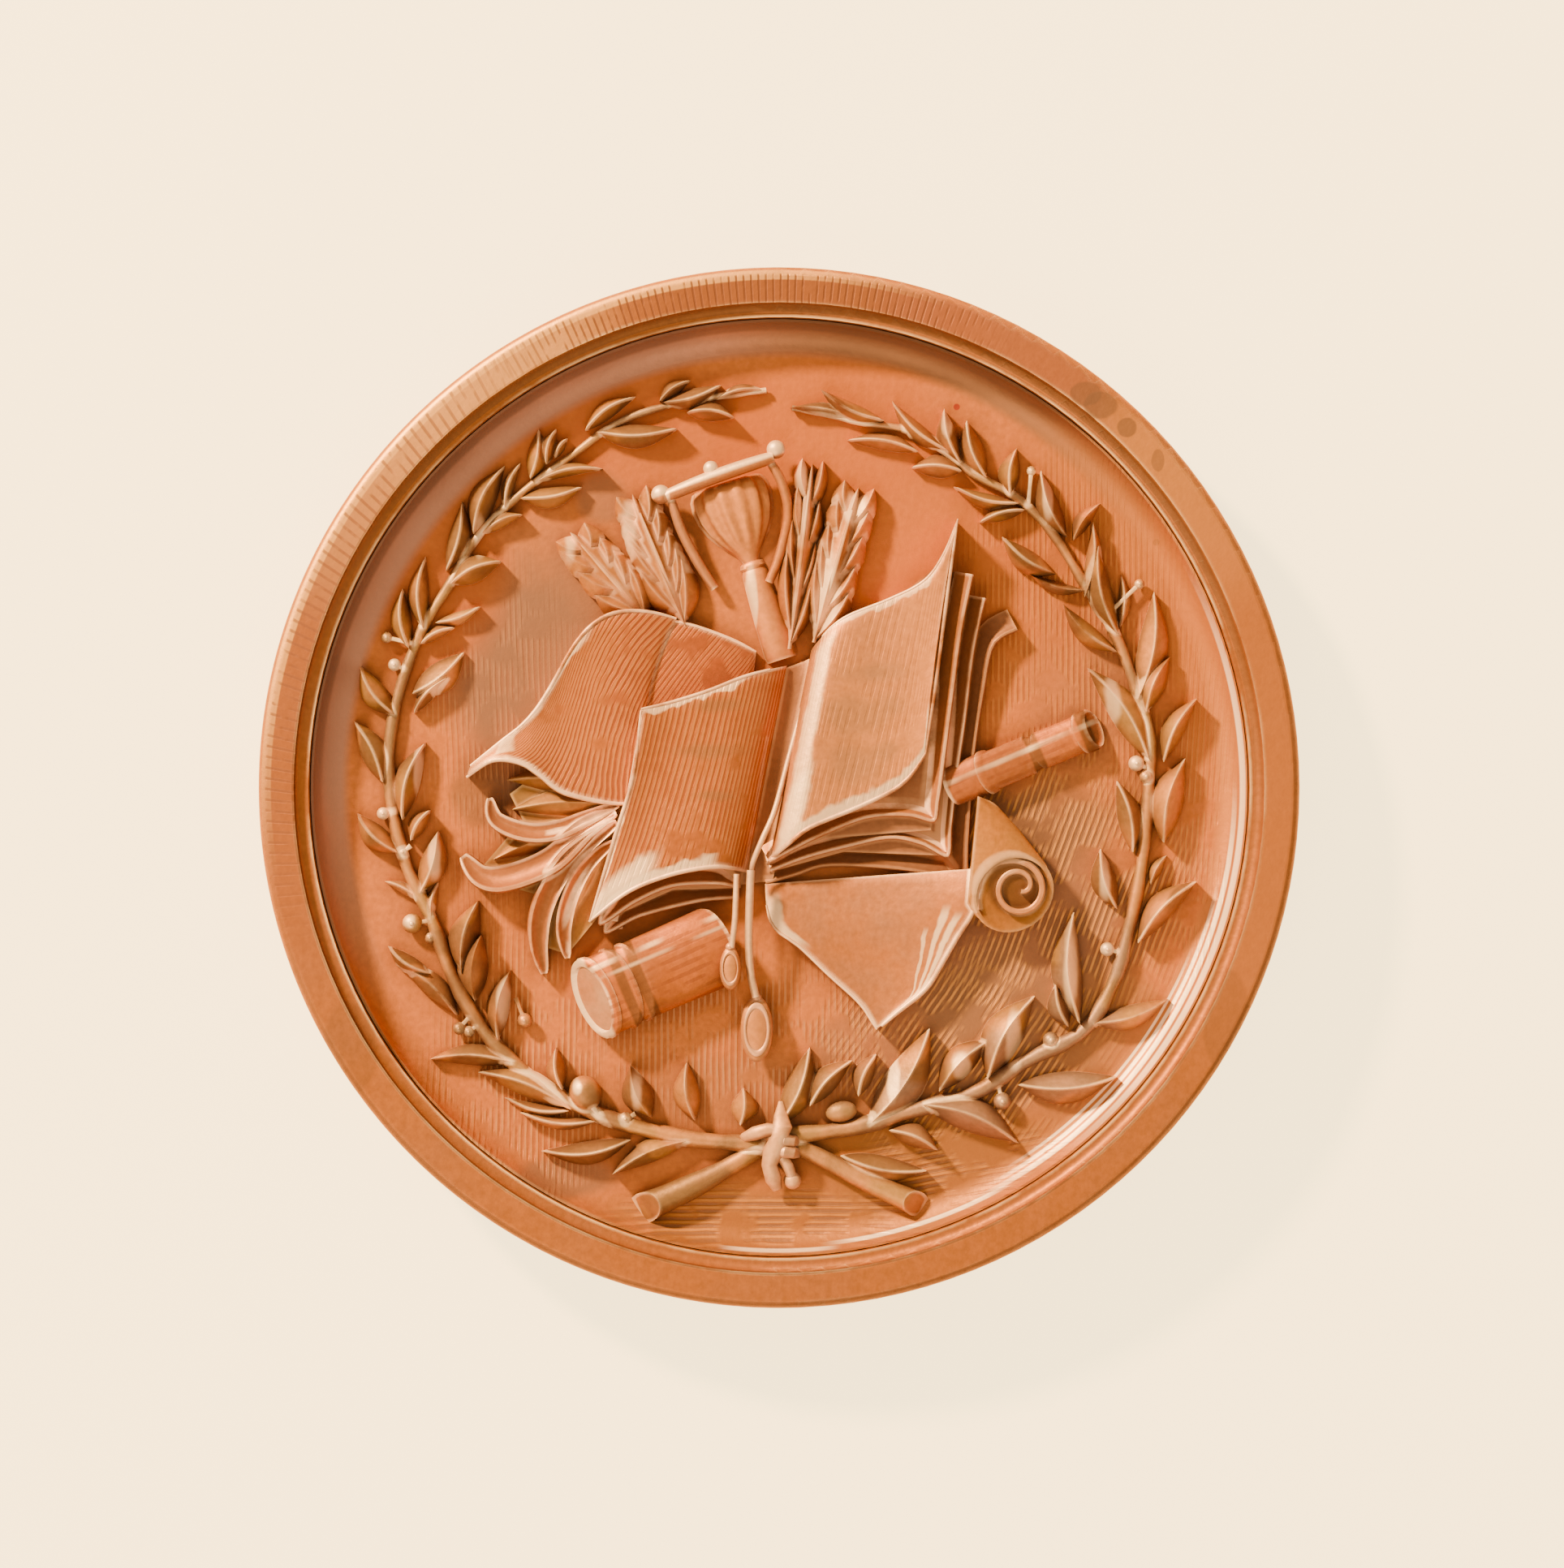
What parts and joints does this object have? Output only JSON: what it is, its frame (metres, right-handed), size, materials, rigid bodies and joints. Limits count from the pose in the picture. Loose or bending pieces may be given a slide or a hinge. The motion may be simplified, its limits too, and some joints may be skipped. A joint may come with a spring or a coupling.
{
  "type": "academic medallion",
  "caption": "Round cast bronze medallion: a dished field in a moulded rim, with a laurel wreath round an open book, telescope, scroll, hourglass and quills.",
  "frame": {"origin": "centre of the flat back face", "axes": "+Z out of the medallion's face, +Y to the top of the design, +X to its right"},
  "size_m": [0.064, 0.064, 0.0056],
  "materials": {
    "rim": "cast and turned copper-brown bronze, satin",
    "field": "cast bronze with a warm orange patina, satin",
    "wreath": "cast bronze, rubbed lighter on the high points",
    "tie": "cast bronze, rubbed bright",
    "book": "cast bronze, satin, lighter pages",
    "parchment": "cast bronze, satin",
    "telescope": "cast bronze, satin",
    "scroll": "cast bronze, satin",
    "hourglass": "cast bronze, satin, bright bars",
    "quill": "cast bronze, satin",
    "seal": "cast bronze, satin"
  },
  "bodies": {
    "root": {"rim": "rim", "field_plate": "field", "laurel_left": "wreath", "laurel_right": "wreath", "laurel_tie": "tie", "open_book": "book", "parchment": "parchment", "curled_leaves": "parchment", "telescope_barrel": "telescope", "telescope_eyepiece": "telescope", "scroll": "scroll", "hourglass": "hourglass", "quill_left_low": "quill", "quill_left": "quill", "quill_right": "quill", "quill_far_right": "quill", "seal_long": "seal", "seal_short": "seal"}
  },
  "joints": []
}
